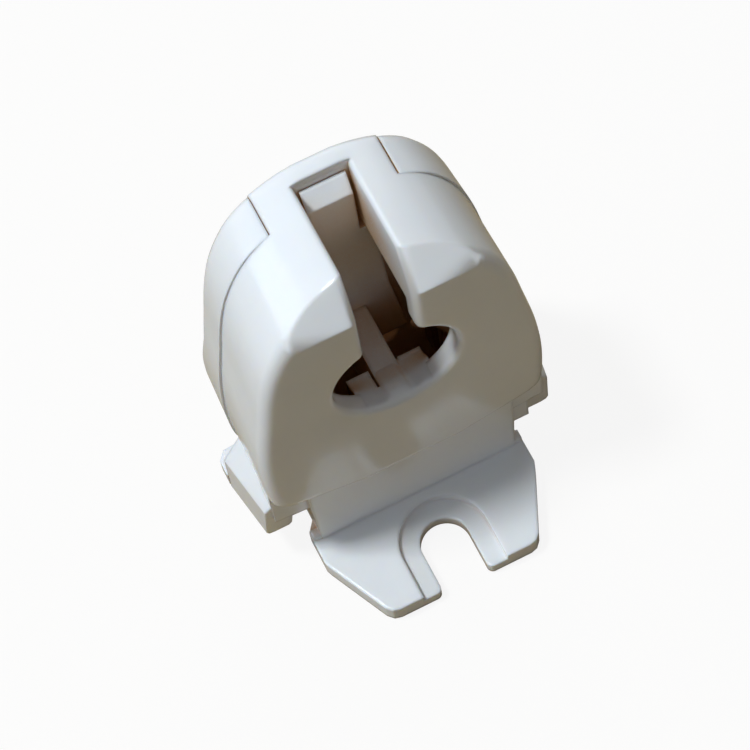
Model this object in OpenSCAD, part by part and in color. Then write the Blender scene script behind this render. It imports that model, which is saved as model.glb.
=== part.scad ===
// Rotary push-in lamp holder for a 5 mm bi-pin fluorescent tube, with a slotted screw foot.
// Axes in mm: X across the width, Y from the flat lamp-side face (Y = 0) to the back, Z up from the underside of the foot (Z = 0).

/* [Display] */

// Sub-part to show

/* [Body] */

// Width across the sides at their widest
body_width = 18.5; // [18:0.1:18.8]
// Height of the top above the foot underside
body_top = 31.0; // [30:0.05:32]
// Height of the chin below the lamp opening
chin_height = 7.0; // [6.5:0.1:7.5]
// Depth from the lamp side to the flat back
body_depth = 9.0; // [8.8:0.1:9.3]
// Further depth of the terminal bulge at the lower end of the back
bulge = 1.6; // [1.4:0.1:2]
// Height at which the terminal bulge ends
bulge_height = 17; // [16:0.5:18]
// Depth of the front shell, where the rear cover starts
seam_depth = 5.8; // [5.5:0.1:6]
// Wall thickness of the shell
wall = 1.3; // [1.2:0.05:1.5]
// Edge rounding around the lamp-side face
face_round = 0.9; // [0.6:0.05:1.1]
// Edge rounding at the back
back_round = 0.8; // [0.5:0.05:1]
// Narrowing of each side towards the back
back_draft = 0.2; // [0:0.05:0.3]
// Height on the face where the top facet starts
facet_height = 27.3; // [27:0.1:28]
// Depth at which the top facet meets the top
facet_depth = 1.25; // [1:0.05:1.6]

/* [Lamp opening] */

// Height of the lamp axis above the foot underside
lamp_height = 19.6; // [19:0.1:20]
// Radius of the round opening in the face
opening_radius = 3.95; // [3.8:0.05:4.2]
// Width of the entry slot for the pins
slot_width = 3.3; // [3:0.05:3.5]
// Depth of the entry slot to its rear wall
slot_depth = 7.5; // [7:0.1:8]
// Height down to which the slot has side walls
slot_wall_bottom = 25.1; // [24.5:0.1:25.5]
// Rounding of the slot edges
lip_round = 0.6; // [0.4:0.05:0.8]
// Rounding of the edge of the round opening
opening_round = 0.4; // [0.2:0.05:0.6]
// Width of the rib under the pins
rib_width = 1.6; // [1.4:0.1:1.8]
// Height of the top of the rib
rib_top = 15.55; // [15:0.05:15.6]
// Gap between the rib and the shelves beside it
shelf_gap = 0.15; // [0.1:0.05:0.3]
// Half width over the shelves
shelf_half = 2.4; // [2.2:0.1:2.6]
// Depth at which the shelves end
shelf_depth = 2.8; // [2.5:0.1:3.5]

/* [Raised band] */

// Half width of the band over the top
band_half = 3.7; // [3.5:0.1:4]
// Slant of the flanks of the band, half of it to either side of the half width
band_slant = 0.2; // [0:0.05:0.3]
// Height of the underside of the band
band_bottom = 27.6; // [27:0.1:28]

/* [Neck and foot] */

// Half width of the neck
neck_half = 6.9; // [6.5:0.1:7.2]
// Narrowing of each side of the neck towards the foot
neck_taper = 0.25; // [0:0.05:0.4]
// Depth of the neck front behind the face
neck_front = 0.35; // [0.2:0.05:0.6]
// Thickness of the foot
foot_thick = 1.4; // [1.3:0.05:1.6]
// Reach of the foot in front of the face
foot_reach = 6.1; // [6:0.05:6.5]
// Half width of the foot where the slanted edges start
foot_half = 7.3; // [7:0.05:7.5]
// Half width of the foot at its front edge
foot_tip_half = 4.95; // [4.8:0.05:5.3]
// Width of the screw slot
screw_slot = 3.2; // [3.15:0.05:3.6]
// Rounding of the mouth of the screw slot
mouth_round = 0.4; // [0.2:0.05:0.6]
// Distance of the screw axis in front of the face
screw_reach = 3.25; // [3.2:0.05:3.8]
// Width of the sunk seat round the screw slot
seat_width = 5.8; // [5.6:0.1:6.2]
// Depth of the sunk seat
seat_sink = 0.5; // [0.3:0.05:0.6]

/* [Side legs and wings] */

// Height of the lower ends of the side legs
leg_bottom = 2.9; // [2.8:0.1:3.6]
// Half width over the leg ends
leg_half = 10.05; // [9.4:0.05:10.3]
// Angle by which the legs splay towards the back
leg_splay = 9; // [0:1:12]
// Depth of the front edge of the legs
leg_front = 1.2; // [1:0.1:2]
// Half width over the rear wings
wing_half = 10.2; // [9.8:0.1:10.5]

/* [Contacts] */

// Thickness of the contact strip
strip_thick = 0.4; // [0.3:0.05:0.5]
// Half distance between the contact leaves
leaf_half = 3.45; // [3.4:0.05:3.6]

/* [Hidden] */

// Half of the body width
bw = body_width / 2;
// Half of the slot width
sw = slot_width / 2;
// Half width of the base plate between its wings
base_half = neck_half - neck_taper - 0.05;
// Small overlap for clean cuts
e = 0.01;
// Facets of the small round edges
$fn = 48;

// Lower right half of both outlines, from the chin up the side, as [x, z]
side_right = [
    [7.6, 8.0], [bw - 0.75, 8.35], [bw - 0.35, 8.7], [bw - 0.18, 9.3], [bw - 0.05, 10.6],
    [bw, 12.4], [bw - 0.05, 14.2], [bw - 0.2, 16.0], [bw - 0.37, 17.4], [bw - 0.6, 18.9],
    [bw - 0.88, 20.6], [bw - 1.13, 22.2], [bw - 1.45, 23.8], [bw - 1.84, 25.2],
    [bw - 2.31, 26.4], [bw - 2.88, 27.5]
];

// Right half of the dome outline
dome_right = concat([[3.3, chin_height]], side_right, [
    [bw - 3.56, 28.5], [bw - 4.36, 29.35], [bw - 5.25, 30.03], [bw - 6.2, 30.5],
    [bw - 7.15, 30.82], [bw - 8.05, body_top]
]);

// Right half of the cover outline with its lower shoulder
shoulder_right = concat([[3.3, chin_height + 0.2]], side_right, [
    [bw - 3.56, 28.5], [bw - 4.36, 29.28], [bw - 5.25, 29.87], [bw - 6.2, 30.2],
    [bw - 7.4, 30.33]
]);

// Half outline with a point more between each two, on a smooth curve through its points
function smooth(p) = let (n = len(p) - 1) [for (i = [0 : n]) each (i == n ? [p[n]] : [
    p[i], (9 * (p[i] + p[i + 1]) - p[max(i - 1, 0)] - p[min(i + 2, n)]) / 16])];

// Mirrored copy of a half outline, joined to a closed one
function closed(half) = concat(
    half, [for (i = [len(half) - 1 : -1 : 0]) [-half[i][0], half[i][1]]]);

// Ring of an outline at a depth, drawn in towards its middle, with a draft and a bulge at its lower end
function ring(pts, y, inset, draft, swell) = [for (p = pts)
    let (m = (chin_height + body_top) / 2, k = 1 - inset / 10)
    [p[0] * (k - draft / bw), y + swell * max(0, bulge_height - p[1]) / (bulge_height - 9.4),
        m + (p[1] - m) * k]];

// Closed skin over a row of symmetric rings with equal numbers of points
module loft(rings) {
    n = len(rings[0]);
    m = len(rings);
    last = (m - 1) * n;
    polyhedron(
        points = [for (r = rings, p = r) p],
        faces = concat(
            [for (i = [0 : n / 2 - 2]) each [[i + 1, i, n - 1 - i], [i + 1, n - 1 - i, n - 2 - i]]],
            [for (j = [0 : m - 2], i = [0 : n - 1])
                [j * n + i, j * n + (i + 1) % n, (j + 1) * n + (i + 1) % n]],
            [for (j = [0 : m - 2], i = [0 : n - 1])
                [j * n + i, (j + 1) * n + (i + 1) % n, (j + 1) * n + i]],
            [for (i = [0 : n / 2 - 2]) each [
                [last + i, last + i + 1, last + n - 1 - i],
                [last + n - 1 - i, last + i + 1, last + n - 2 - i]]]
        )
    );
}

// Upright prism of an outline between two depths
module prism(pts, y0, y1) {
    translate([0, y1, 0]) rotate([90, 0, 0]) linear_extrude(y1 - y0) polygon(pts);
}

// Box from two corners
module block(a, b) {
    translate(a) cube(b - a);
}

// Both hands of a feature
module pair() {
    children();
    mirror([1, 0, 0]) children();
}

// Rings of an outline rounded off at the back
function back_rings(pts, swell) = [for (k = [4 : -1 : 0])
    ring(pts, body_depth - back_round * (1 - cos(k * 22.5)),
        back_round * (1 - sin(k * 22.5)), back_draft, swell)];

// Outer form of the front shell with its rounded face edge and the band over the top behind it
module front_form() {
    pts = closed(smooth(dome_right));
    difference() {
        loft(concat(
            [for (k = [0 : 8])
                ring(pts, face_round * (1 - cos(k * 11.25)), face_round * (1 - sin(k * 11.25)), 0, 0)],
            back_rings(pts, 0)));
        pair() prism([[band_half + band_slant, 0], [20, 0], [20, 40], [band_half - band_slant, 40],
            [band_half - band_slant, body_top], [band_half + band_slant, body_top - 1.2]],
            seam_depth, 20);
        block([-20, seam_depth, 0], [20, 20, band_bottom]);
    }
}

// Outer form of the rear cover with the terminal bulge
module cover_form() {
    pts = closed(smooth(shoulder_right));
    loft(concat([ring(pts, seam_depth + e, 0, 0, 0)], back_rings(pts, bulge)));
}

// Space inside the walls between two depths
module hollow(y0, y1) {
    inner = [
        [3.0, chin_height + wall], [7.0, 9.4], [bw - wall - 0.2, 10.0], [bw - wall - 0.1, 14.0],
        [bw - wall - 0.6, 18.0], [bw - wall - 1.2, 22.0], [bw - wall - 2.2, 25.0],
        [bw - wall - 3.4, 27.0], [bw - wall - 5.2, 28.6]
    ];
    prism(closed(inner), y0, y1);
    block([-neck_half + wall, y0, foot_thick], [neck_half - wall, y1, 12]);
}

// Lip of the slot cut as a prism whose sides flare out by a quarter round
module flare(length, reach) {
    r = lip_round;
    half = concat(
        [for (k = [0 : 6]) [sw + r * (1 - cos(k * 15)), -r + r * sin(k * 15)]],
        [[sw + r, reach]]);
    linear_extrude(length) polygon(concat(half, [for (i = [len(half) - 1 : -1 : 0]) [-half[i][0], half[i][1]]]));
}

// Entry slot with rounded lips along the top, the facet and the face
module slot_cut() {
    lean = atan2(facet_depth, body_top - facet_height);
    block([-sw, -1, lamp_height], [sw, slot_depth, body_top + 1]);
    translate([0, slot_depth, body_top]) rotate([90, 0, 0]) flare(slot_depth + 1, 1);
    translate([0, 0, lamp_height + opening_radius - 1]) rotate([0, 0, 180])
        flare(facet_height - lamp_height - opening_radius + 1.3, 1);
    translate([0, 0, facet_height]) rotate([-lean, 0, 0]) translate([0, 0, -0.4]) rotate([0, 0, 180])
        flare(norm([facet_depth, body_top - facet_height]) + 0.8, 2);
}

// Round opening with its rounded lip
module opening_cut() {
    r = opening_round;
    translate([0, 0, lamp_height]) rotate([-90, 0, 0]) rotate_extrude() polygon(concat(
        [[0, 3], [0, -1], [opening_radius + r, -1]],
        [for (k = [0 : 6]) [opening_radius + r * (1 - sin(k * 15)), r * (1 - cos(k * 15))]],
        [[opening_radius, 3]]));
}

// Foot plate with its slanted corners, screw slot and sunk seat
module foot() {
    difference() {
        linear_extrude(foot_thick) polygon([
            [-base_half, 2], [-foot_half, 1.1], [-foot_half, -1.2], [-foot_half + 0.15, -1.6],
            [-foot_tip_half - 0.35, -foot_reach + 0.5], [-foot_tip_half, -foot_reach + 0.12],
            [-foot_tip_half + 0.45, -foot_reach], [foot_tip_half - 0.45, -foot_reach],
            [foot_tip_half, -foot_reach + 0.12], [foot_tip_half + 0.35, -foot_reach + 0.5],
            [foot_half - 0.15, -1.6], [foot_half, -1.2], [foot_half, 1.1], [base_half, 2]
        ]);
        translate([0, -screw_reach, -1]) cylinder(h = 4, d = screw_slot);
        block([-screw_slot / 2, -foot_reach - 1, -1], [screw_slot / 2, -screw_reach, 3]);
        pair() translate([screw_slot / 2, -foot_reach, -1]) difference() {
            block([-0.5, -1, 0], [mouth_round, mouth_round, 4]);
            translate([mouth_round, mouth_round, -1]) cylinder(h = 6, r = mouth_round);
        }
        translate([0, -screw_reach, foot_thick - seat_sink]) cylinder(h = 2, d = seat_width);
        block([-seat_width / 2, -foot_reach - 1, foot_thick - seat_sink],
            [seat_width / 2, -screw_reach, 3]);
    }
}

// Base plate under the body with the rear wings
module base_plate() {
    linear_extrude(foot_thick) polygon([
        [-base_half, 1], [base_half, 1], [base_half, 7.1], [wing_half, 7.1],
        [wing_half, 8.2], [wing_half - 0.5, 8.8], [base_half, 9.0], [-base_half, 9.0],
        [-wing_half + 0.5, 8.8], [-wing_half, 8.2], [-wing_half, 7.1], [-base_half, 7.1]
    ]);
    pair() block([base_half - 0.2, 0.4, 0], [foot_half - 0.05, 1.0, 1.9]);
}

// Flared side leg of the right hand with its slanted front edge
module leg() {
    intersection() {
        translate([leg_half, 3.3, 0]) rotate([0, 0, -leg_splay]) translate([-leg_half, -3.3, 0]) prism([
            [bw - 0.9, 11.5], [bw - 0.7, 9.4], [leg_half - 0.1, 7.2], [leg_half, leg_bottom + 0.5],
            [leg_half - 0.15, leg_bottom + 0.12], [leg_half - 0.5, leg_bottom],
            [leg_half - wall - 0.2, leg_bottom], [leg_half - wall - 0.4, leg_bottom + 0.3],
            [bw - wall, 8.6], [bw - wall, 11.5]
        ], -1, 8);
        rotate([90, 0, 90]) linear_extrude(20) polygon([
            [0.8, 12], [0.8, 9], [leg_front + 0.4, leg_bottom - 0.2], [seam_depth - 0.4, leg_bottom - 0.2],
            [seam_depth - 0.3, 9], [seam_depth, 12]
        ]);
    }
    prism([[neck_half - 0.3, 5.6], [bw - 0.1, 5.9], [bw - 0.1, 10], [neck_half - 0.3, 10]],
        0.8, 0.8 + wall);
}

// Front shell, neck, foot, legs and band in one piece
module housing() {
    color([0.93, 0.93, 0.94]) {
        difference() {
            union() {
                difference() {
                    union() {
                        front_form();
                        prism(closed([[neck_half - neck_taper, 0], [neck_half, 6], [neck_half, 12]]),
                            neck_front, seam_depth);
                        pair() leg();
                    }
                    hollow(wall, seam_depth + 1);
                    translate([0, 0, facet_height])
                        rotate([-atan2(facet_depth, body_top - facet_height), 0, 0])
                            block([-12, -6, -3], [12, 0, 8]);
                }
                pair() block([sw - 0.2, wall - 0.2, slot_wall_bottom], [sw + wall, slot_depth + 0.6, 29.5]);
                block([-sw - wall, slot_depth, slot_wall_bottom], [sw + wall, body_depth - 0.1, 29.5]);
            }
            slot_cut();
            opening_cut();
        }
        block([-rib_width / 2, 0.15, 9], [rib_width / 2, seam_depth + 0.9, rib_top]);
        pair() block([shelf_gap + rib_width / 2, 0.3, 9], [shelf_half, shelf_depth, rib_top - 0.1]);
        block([neck_half - 0.2, 0.9, 3.6], [neck_half + 1.2, 1.9, 6]);
        foot();
        base_plate();
    }
}

// Tab standing in the slot, with a slanted top and a wide lower end
module tab() {
    translate([-sw + 0.25, 0, 0]) rotate([90, 0, 90]) linear_extrude(slot_width - 0.5) polygon([
        [slot_depth - 0.8, 10.8], [slot_depth - 0.05, 10.8], [slot_depth - 0.05, 30],
        [slot_depth - 0.2, 30], [slot_depth - 0.8, 28.6]
    ]);
    prism([[-3.2, 10.8], [3.2, 10.8], [2.5, 17], [2.2, 24.5], [-2.2, 24.5], [-2.5, 17]],
        slot_depth - 0.8, slot_depth - 0.05);
    pair() block([1.2, slot_depth - 0.1, 14], [2.2, body_depth - wall + 0.2, 24.5]);
}

// Cover closing the back, with the tab in the slot and four wire holes
module rear_cover() {
    color([0.9, 0.9, 0.91]) {
        tab();
        difference() {
            union() {
                cover_form();
                block([-neck_half + 0.35, seam_depth + e, foot_thick + e],
                    [neck_half - 0.35, body_depth, 13]);
            }
            hollow(seam_depth - 1, body_depth - wall);
            block([-band_half - band_slant - 0.05, 0, band_bottom - 0.05],
                [band_half + band_slant + 0.05, 20, 40]);
            block([-sw - wall - 0.05, 0, slot_wall_bottom - 0.05], [sw + wall + 0.05, 20, 40]);
            for (x = [-4.6, -1.9, 1.9, 4.6])
                translate([x, 0, 8.5]) rotate([-90, 0, 0]) cylinder(h = 20, d = 1.9);
        }
    }
}

// Bronze contact strip of the right hand
module contact() {
    translate([0, 0, lamp_height - 3.3]) linear_extrude(6.6) polygon([
        [4.9, 7.6], [4.9 - strip_thick, 7.6], [4.9 - strip_thick, 6.4], [leaf_half, 5.0],
        [leaf_half, 3.4], [4.2, 2.2], [4.2 + strip_thick, 2.2], [leaf_half + strip_thick, 3.5],
        [leaf_half + strip_thick, 4.9], [4.9, 6.2]
    ]);
    block([4.9 - strip_thick, 6.4, 6], [4.9, 7.6, lamp_height]);
}

// Contact on the left of the lamp opening
module contact_left() {
    color([0.62, 0.45, 0.26]) mirror([1, 0, 0]) contact();
}

// Contact on the right of the lamp opening
module contact_right() {
    color([0.62, 0.45, 0.26]) contact();
}

// Every sub-part in the assembly

housing();
rear_cover();
contact_left();
contact_right();
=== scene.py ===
import bpy
from mathutils import Matrix, Vector


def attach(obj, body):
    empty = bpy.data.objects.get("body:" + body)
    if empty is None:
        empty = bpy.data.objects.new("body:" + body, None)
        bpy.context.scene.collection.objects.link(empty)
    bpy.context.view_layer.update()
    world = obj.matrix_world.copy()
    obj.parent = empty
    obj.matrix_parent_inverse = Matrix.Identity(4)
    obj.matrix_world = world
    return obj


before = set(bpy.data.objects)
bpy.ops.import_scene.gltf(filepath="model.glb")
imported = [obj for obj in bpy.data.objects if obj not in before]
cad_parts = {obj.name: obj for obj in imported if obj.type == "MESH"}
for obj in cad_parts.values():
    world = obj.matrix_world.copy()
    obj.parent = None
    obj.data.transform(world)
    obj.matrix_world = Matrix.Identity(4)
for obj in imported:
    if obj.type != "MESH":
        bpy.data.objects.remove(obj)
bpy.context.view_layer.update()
scene = bpy.context.scene
scene.view_settings.view_transform = "Standard"

# Camera of the photograph: its place, its right, up and backward directions, its film and lens in mm
PLACE = (-0.01964063, -0.06611806, 0.16241283)
RIGHT = (0.89411697, -0.43885055, -0.08924708)
UP = (0.43253790, 0.79461754, 0.42602104)
BACKWARD = (-0.11604228, -0.41951539, 0.90030052)
FILM_WIDTH = 36
LENS = 134.539
NEAREST = 0.005

# Moulded plastic: flow clouds, grain and rounding of the edges
CLOUD_SCALE = 160.0
CLOUD_RANGE = (0.3, 0.7)
CLOUD_SHADE = 0.965
GLOSS_SPREAD = (0.85, 1.15)
GRAIN_SCALE = 900.0
GRAIN_HEIGHT = 0.00005
GRAIN_STRENGTH = 0.08
EDGE_RADIUS = 0.00035

# Painted warm shade in hollows and seams: reach of the enclosure test, its range and the colour of the
# painted shade
SHADE_REACH = 0.009
SHADE_RANGE = (0.1, 0.5)
PAINTED_SHADE_COLOR = (0.7, 0.44, 0.22, 1)

# Smooth shading: points closer than this are one, edges sharper than this angle (radians) stay sharp
JOIN_DISTANCE = 0.000002
SHARP_ANGLE = 0.28

# Leaning faces at the top whose shading is lifted: above this height, facing forward and up
LEAN_HEIGHT = 0.02755
LEAN_FORWARD = -0.5
LEAN_UP = 0.2
LEAN_LIFT = 0.85

# Round opening, rib and shelves of the housing, in mm
OPENING_HEIGHT = 19.6
OPENING_RADIUS = 3.95
OPENING_ROUND = 0.4
RIB_HALF = 0.8
SHELF_START = 0.95
SADDLE_REAR = 15.42
SADDLE_RIB = 0.11
SADDLE_FOOT = 14.2

# Stage
FLOOR_HALF = 2.0
FLOOR_HEIGHT = -0.0002
CARD_HALF = 0.25
CARD_HEIGHT = -0.0001
AIM = (0, 0, 0.015)

camera_data = bpy.data.cameras.new("camera")
camera_data.sensor_width = FILM_WIDTH
camera_data.lens = LENS
camera_data.clip_start = NEAREST
camera = bpy.data.objects.new("camera", camera_data)
turn = Matrix((RIGHT, UP, BACKWARD)).transposed().to_4x4()
camera.matrix_world = Matrix.Translation(PLACE) @ turn
scene.collection.objects.link(camera)
scene.camera = camera


def material(name):
    """A new node material, its tree and its Principled shader."""
    m = bpy.data.materials.new(name)
    m.use_nodes = True
    return m, m.node_tree, m.node_tree.nodes["Principled BSDF"]


def add(tree, kind, **values):
    """A node of a kind with values set on its sockets or properties."""
    node = tree.nodes.new(kind)
    for key, value in values.items():
        if key in node.inputs:
            node.inputs[key].default_value = value
        else:
            setattr(node, key, value)
    return node


def spread(tree, value, source, target, interpolation="LINEAR"):
    """A value carried over from one range to another."""
    node = add(tree, "ShaderNodeMapRange", interpolation_type=interpolation)
    for key, limit in zip(("From Min", "From Max", "To Min", "To Max"), (*source, *target)):
        node.inputs[key].default_value = limit
    tree.links.new(value, node.inputs["Value"])
    return node.outputs["Result"]


def plastic(name, color, rough):
    """Glossy, slightly translucent plastic with flow clouds, soft edges and painted warm shade that
    darkens and browns its enclosed hollows.
    """
    m, tree, shader = material(name)
    place = add(tree, "ShaderNodeTexCoord")
    cloud = add(tree, "ShaderNodeTexNoise", Scale=CLOUD_SCALE, Detail=3.0, Roughness=0.5)
    tree.links.new(place.outputs["Object"], cloud.inputs["Vector"])
    tint = add(tree, "ShaderNodeValToRGB")
    for stop, at, shade in zip(tint.color_ramp.elements, CLOUD_RANGE, (CLOUD_SHADE, 1)):
        stop.position = at
        stop.color = (*[c * shade for c in color], 1)
    tree.links.new(cloud.outputs["Fac"], tint.inputs["Fac"])
    # Painted shade: the base colour turns dark brown where the surface is enclosed, in the slot's
    # interior, hollows and seams
    occlusion = add(tree, "ShaderNodeAmbientOcclusion", samples=8, Distance=SHADE_REACH)
    shade_amount = spread(tree, occlusion.outputs["AO"], SHADE_RANGE, (1.0, 0.0), "SMOOTHSTEP")
    painted_shade = add(tree, "ShaderNodeMix", data_type="RGBA")
    painted_shade.inputs["B"].default_value = PAINTED_SHADE_COLOR
    tree.links.new(shade_amount, painted_shade.inputs["Factor"])
    tree.links.new(tint.outputs["Color"], painted_shade.inputs["A"])
    tree.links.new(painted_shade.outputs["Result"], shader.inputs["Base Color"])
    gloss = spread(tree, cloud.outputs["Fac"], CLOUD_RANGE, [rough * s for s in GLOSS_SPREAD])
    tree.links.new(gloss, shader.inputs["Roughness"])
    grain = add(tree, "ShaderNodeTexNoise", Scale=GRAIN_SCALE, Detail=2.0)
    tree.links.new(place.outputs["Object"], grain.inputs["Vector"])
    edge = add(tree, "ShaderNodeBevel", samples=8, Radius=EDGE_RADIUS)
    bump = add(tree, "ShaderNodeBump", Strength=GRAIN_STRENGTH, Distance=GRAIN_HEIGHT)
    tree.links.new(grain.outputs["Fac"], bump.inputs["Height"])
    tree.links.new(edge.outputs["Normal"], bump.inputs["Normal"])
    tree.links.new(bump.outputs["Normal"], shader.inputs["Normal"])
    shader.inputs["IOR"].default_value = 1.5
    shader.inputs["Specular IOR Level"].default_value = 0.33
    shader.inputs["Subsurface Weight"].default_value = 0.35
    shader.inputs["Subsurface Radius"].default_value = (1.0, 0.75, 0.5)
    shader.inputs["Subsurface Scale"].default_value = 0.0008
    return m


def bronze(name):
    """Rolled spring bronze with a brushed grain."""
    m, tree, shader = material(name)
    place = add(tree, "ShaderNodeTexCoord")
    stretch = add(tree, "ShaderNodeMapping")
    stretch.inputs["Scale"].default_value = (200, 200, 3000)
    tree.links.new(place.outputs["Object"], stretch.inputs["Vector"])
    grain = add(tree, "ShaderNodeTexNoise", Scale=1.0, Detail=4.0)
    tree.links.new(stretch.outputs["Vector"], grain.inputs["Vector"])
    tint = add(tree, "ShaderNodeValToRGB")
    tint.color_ramp.elements[0].color = (0.28, 0.13, 0.05, 1)
    tint.color_ramp.elements[1].color = (0.5, 0.27, 0.11, 1)
    tree.links.new(grain.outputs["Fac"], tint.inputs["Fac"])
    tree.links.new(tint.outputs["Color"], shader.inputs["Base Color"])
    gloss = spread(tree, grain.outputs["Fac"], (0, 1), (0.3, 0.5))
    tree.links.new(gloss, shader.inputs["Roughness"])
    shader.inputs["Metallic"].default_value = 1.0
    return m


def worked(tree, operation, first, second):
    """The result of one sum on a value and a number or another value."""
    node = add(tree, "ShaderNodeMath", operation=operation)
    tree.links.new(first, node.inputs[0])
    if isinstance(second, float):
        node.inputs[1].default_value = second
    else:
        tree.links.new(second, node.inputs[1])
    return node.outputs[0]


def rounded(obj):
    """Joined, smooth surfaces on an object, with its sharp edges kept and its leaning faces lifted."""
    tree = bpy.data.node_groups.new("rounded", "GeometryNodeTree")
    for way in ("INPUT", "OUTPUT"):
        tree.interface.new_socket("Geometry", in_out=way, socket_type="NodeSocketGeometry")
    start = add(tree, "NodeGroupInput")
    end = add(tree, "NodeGroupOutput")
    clean = add(tree, "GeometryNodeRemoveAttribute", Name="custom_normal")
    join = add(tree, "GeometryNodeMergeByDistance", Distance=JOIN_DISTANCE)
    soft = add(tree, "GeometryNodeSetShadeSmooth", domain="FACE")
    hard = add(tree, "GeometryNodeSetShadeSmooth", domain="EDGE")
    hard.inputs["Shade Smooth"].default_value = False
    angle = add(tree, "GeometryNodeInputMeshEdgeAngle")
    tree.links.new(start.outputs[0], clean.inputs["Geometry"])
    tree.links.new(clean.outputs[0], join.inputs["Geometry"])
    tree.links.new(join.outputs[0], soft.inputs["Geometry"])
    tree.links.new(soft.outputs[0], hard.inputs["Geometry"])
    sharp = worked(tree, "GREATER_THAN", angle.outputs["Unsigned Angle"], SHARP_ANGLE)
    tree.links.new(sharp, hard.inputs["Selection"])

    # The facets beside the slot and the ledge behind it are slightly crowned: their shading leans up
    normal = add(tree, "GeometryNodeInputNormal")
    place = add(tree, "ShaderNodeSeparateXYZ")
    facing = add(tree, "ShaderNodeSeparateXYZ")
    tree.links.new(add(tree, "GeometryNodeInputPosition").outputs[0], place.inputs[0])
    tree.links.new(normal.outputs["True Normal"], facing.inputs[0])
    high = worked(tree, "GREATER_THAN", place.outputs["Z"], LEAN_HEIGHT)
    ahead = worked(tree, "LESS_THAN", facing.outputs["Y"], LEAN_FORWARD)
    up = worked(tree, "GREATER_THAN", facing.outputs["Z"], LEAN_UP)
    chosen = add(tree, "GeometryNodeFieldOnDomain", domain="FACE")
    tree.links.new(worked(tree, "MULTIPLY", worked(tree, "MULTIPLY", high, ahead), up), chosen.inputs[0])
    lift = add(tree, "ShaderNodeCombineXYZ")
    tree.links.new(worked(tree, "MULTIPLY", chosen.outputs[0], LEAN_LIFT), lift.inputs["Z"])
    lean = add(tree, "ShaderNodeVectorMath", operation="ADD")
    tree.links.new(normal.outputs["Normal"], lean.inputs[0])
    tree.links.new(lift.outputs[0], lean.inputs[1])
    unit = add(tree, "ShaderNodeVectorMath", operation="NORMALIZE")
    tree.links.new(lean.outputs[0], unit.inputs[0])
    shade = add(tree, "GeometryNodeSetMeshNormal", mode="FREE", domain="CORNER")
    tree.links.new(hard.outputs[0], shade.inputs["Mesh"])
    tree.links.new(unit.outputs[0], shade.inputs["Custom Normal"])
    tree.links.new(shade.outputs[0], end.inputs[0])
    obj.modifiers.new("rounded", "NODES").node_group = tree


white = plastic("white_plastic", (0.84, 0.85, 0.86), 0.16)
cover = plastic("cover_plastic", (0.83, 0.84, 0.85), 0.2)
metal = bronze("contact_bronze")
finish = {"housing": white, "rear_cover": cover, "contact_left": metal, "contact_right": metal}
for name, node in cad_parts.items():
    node.data.materials.clear()
    node.data.materials.append(finish[name])
    rounded(node)


def slab(name, rows, foot):
    """A closed block in mm: rows of points on top, straight sides and a flat foot."""
    wide = len(rows[0])
    top = [tuple(c / 1000 for c in point) for row in rows for point in row]
    low = [(x, y, foot / 1000) for x, y, z in top]
    count = len(top)
    faces = []
    for i in range(len(rows) - 1):
        for j in range(wide - 1):
            a, b = i * wide + j, (i + 1) * wide + j
            faces += [(a, b, b + 1, a + 1), (count + a + 1, count + b + 1, count + b, count + a)]
    rim = list(range(wide))
    rim += [i * wide + wide - 1 for i in range(1, len(rows))]
    rim += [(len(rows) - 1) * wide + j for j in range(wide - 2, -1, -1)]
    rim += [i * wide for i in range(len(rows) - 2, 0, -1)]
    for a, b in zip(rim, rim[1:] + rim[:1]):
        faces.append((a, b, count + b, count + a))
    mesh = bpy.data.meshes.new(name)
    mesh.from_pydata(top + low, [], faces)
    obj = bpy.data.objects.new(name, mesh)
    scene.collection.objects.link(obj)
    mesh.materials.append(white)
    rounded(obj)
    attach(obj, "root")


def ease(t):
    """Smooth step from 0 to 1."""
    t = min(max(t, 0.0), 1.0)
    return t * t * (3 - 2 * t)


def lip(x, y):
    """Height in mm of the lower edge of the round opening, flared towards the face."""
    flare = OPENING_ROUND * (1 - (1 - (max(OPENING_ROUND - y, 0.0) / OPENING_ROUND) ** 2) ** 0.5)
    return OPENING_HEIGHT - ((OPENING_RADIUS + flare) ** 2 - x * x) ** 0.5


def saddle(x, y):
    """Height in mm of the soft ramp that joins the rib and the shelves to the lower lip."""
    rib = 1 - ease((abs(x) - 0.5) / 0.4)
    front = lip(x, y) - 0.03 + 0.1 * ease(y / 0.3) + 0.25 * rib * ease(y / 0.9)
    rear = SADDLE_REAR + SADDLE_RIB * rib
    z = front + (rear - front) * ease((y - 1.15) / 1.55)
    # Its sides dip under the lip, and the gap between rib and left shelf stays open
    z -= 0.15 * ease((abs(x) - 1.9) / 0.5) * (1 - ease((y - 1.2) / 0.3))
    if -SHELF_START < x < -RIB_HALF:
        z -= ease((y - 1.4) / 0.4)
    return z


# Rib and shelves run out over the lower lip of the opening
ACROSS = [-2.4, -2.25, -2.1, -1.9, -1.6, -1.3, -1.0, -0.96, -0.94, -0.81, -0.79, -0.7, -0.6, -0.5, -0.3,
          0.0, 0.3, 0.5, 0.6, 0.7, 0.8, 0.9, 1.1, 1.3, 1.6, 1.9, 2.1, 2.25, 2.4]
DEPTHS = [0.02, 0.05, 0.1, 0.15, 0.2, 0.3, 0.4, 0.5, 0.6, 0.7, 0.8, 0.9, 1.0, 1.1, 1.2, 1.3, 1.4, 1.5, 1.6,
          1.8, 2.0, 2.2, 2.4, 2.6, 2.7]
slab("lip_saddle", [[(x, y, saddle(x, y)) for y in DEPTHS] for x in ACROSS], SADDLE_FOOT)


def sheet(name, half, height):
    """A flat square of the stage, centred under the object."""
    mesh = bpy.data.meshes.new(name)
    corners = [(-half, -half, 0), (half, -half, 0), (half, half, 0), (-half, half, 0)]
    mesh.from_pydata(corners, [], [(0, 1, 2, 3)])
    obj = bpy.data.objects.new(name, mesh)
    obj.location.z = height
    scene.collection.objects.link(obj)
    return obj


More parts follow.
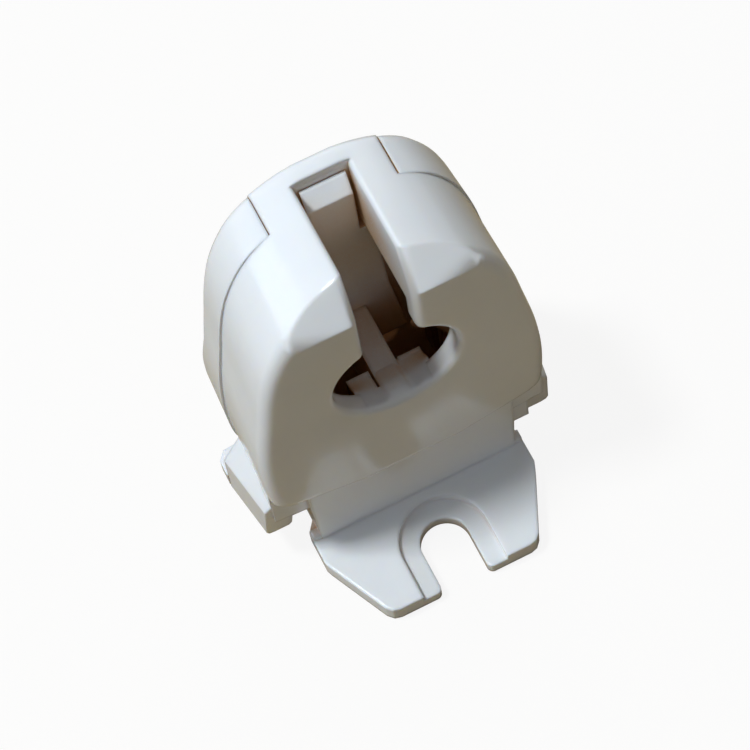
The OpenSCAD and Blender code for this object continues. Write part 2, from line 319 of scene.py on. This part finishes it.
def shown(tree, plain, seen, output):
    """The plain shader for light on the object, and the other for what the eye, metal and glass see."""
    rays = add(tree, "ShaderNodeLightPath")
    first = add(tree, "ShaderNodeMath", operation="MAXIMUM")
    second = add(tree, "ShaderNodeMath", operation="MAXIMUM")
    tree.links.new(rays.outputs["Is Camera Ray"], first.inputs[0])
    tree.links.new(rays.outputs["Is Glossy Ray"], first.inputs[1])
    tree.links.new(first.outputs[0], second.inputs[0])
    tree.links.new(rays.outputs["Is Transmission Ray"], second.inputs[1])
    choose = add(tree, "ShaderNodeMixShader")
    tree.links.new(second.outputs[0], choose.inputs["Fac"])
    tree.links.new(plain, choose.inputs[1])
    tree.links.new(seen, choose.inputs[2])
    tree.links.new(choose.outputs[0], output)


# Floor, white with a faint shadow
floor = sheet("floor", FLOOR_HALF, FLOOR_HEIGHT)
m, tree, shader = material("floor")
shader.inputs["Base Color"].default_value = (0.6, 0.57, 0.52, 1)
shader.inputs["Roughness"].default_value = 0.7
pale = add(tree, "ShaderNodeBsdfDiffuse", Color=(0.85, 0.85, 0.85, 1))
glow = add(tree, "ShaderNodeEmission", Strength=1.0)
white_floor = add(tree, "ShaderNodeMixShader", Fac=0.9)
tree.links.new(pale.outputs[0], white_floor.inputs[1])
tree.links.new(glow.outputs[0], white_floor.inputs[2])
shown(tree, shader.outputs[0], white_floor.outputs[0], tree.nodes["Material Output"].inputs["Surface"])
floor.data.materials.append(m)

# Tan card on the floor, which the face mirrors and the eye doesn't see
card = sheet("card", CARD_HALF, CARD_HEIGHT)
m, tree, shader = material("card")
shader.inputs["Base Color"].default_value = (0.28, 0.196, 0.072, 1)
shader.inputs["Roughness"].default_value = 0.8
card.data.materials.append(m)
card.visible_camera = False
card.visible_shadow = False

# World, white to the eye and a dim room to the object
world = bpy.data.worlds.new("world")
scene.world = world
world.use_nodes = True
tree = world.node_tree
room = tree.nodes["Background"]
room.inputs["Color"].default_value = (0.86, 0.92, 1.0, 1)
room.inputs["Strength"].default_value = 0.19
sky = add(tree, "ShaderNodeBackground", Color=(1, 1, 1, 1), Strength=1.0)
shown(tree, room.outputs[0], sky.outputs[0], tree.nodes["World Output"].inputs["Surface"])


def lamp(name, place, size, power, color):
    """A soft square lamp that looks at the object."""
    data = bpy.data.lights.new(name, "AREA")
    data.shape = "SQUARE"
    data.size = size
    data.energy = power
    data.color = color
    obj = bpy.data.objects.new(name, data)
    obj.location = place
    obj.rotation_euler = (Vector(AIM) - Vector(place)).to_track_quat("-Z", "Y").to_euler()
    scene.collection.objects.link(obj)


lamp("key", (-0.202, 0.070, 0.575), 0.08, 2.6, (0.88, 0.94, 0.98))
lamp("side", (-0.46, 0.10, 0.10), 0.36, 1.1, (0.72, 0.84, 1.0))
lamp("fill", (0.22, 0.40, 0.20), 0.3, 0.45, (0.88, 0.94, 1.0))
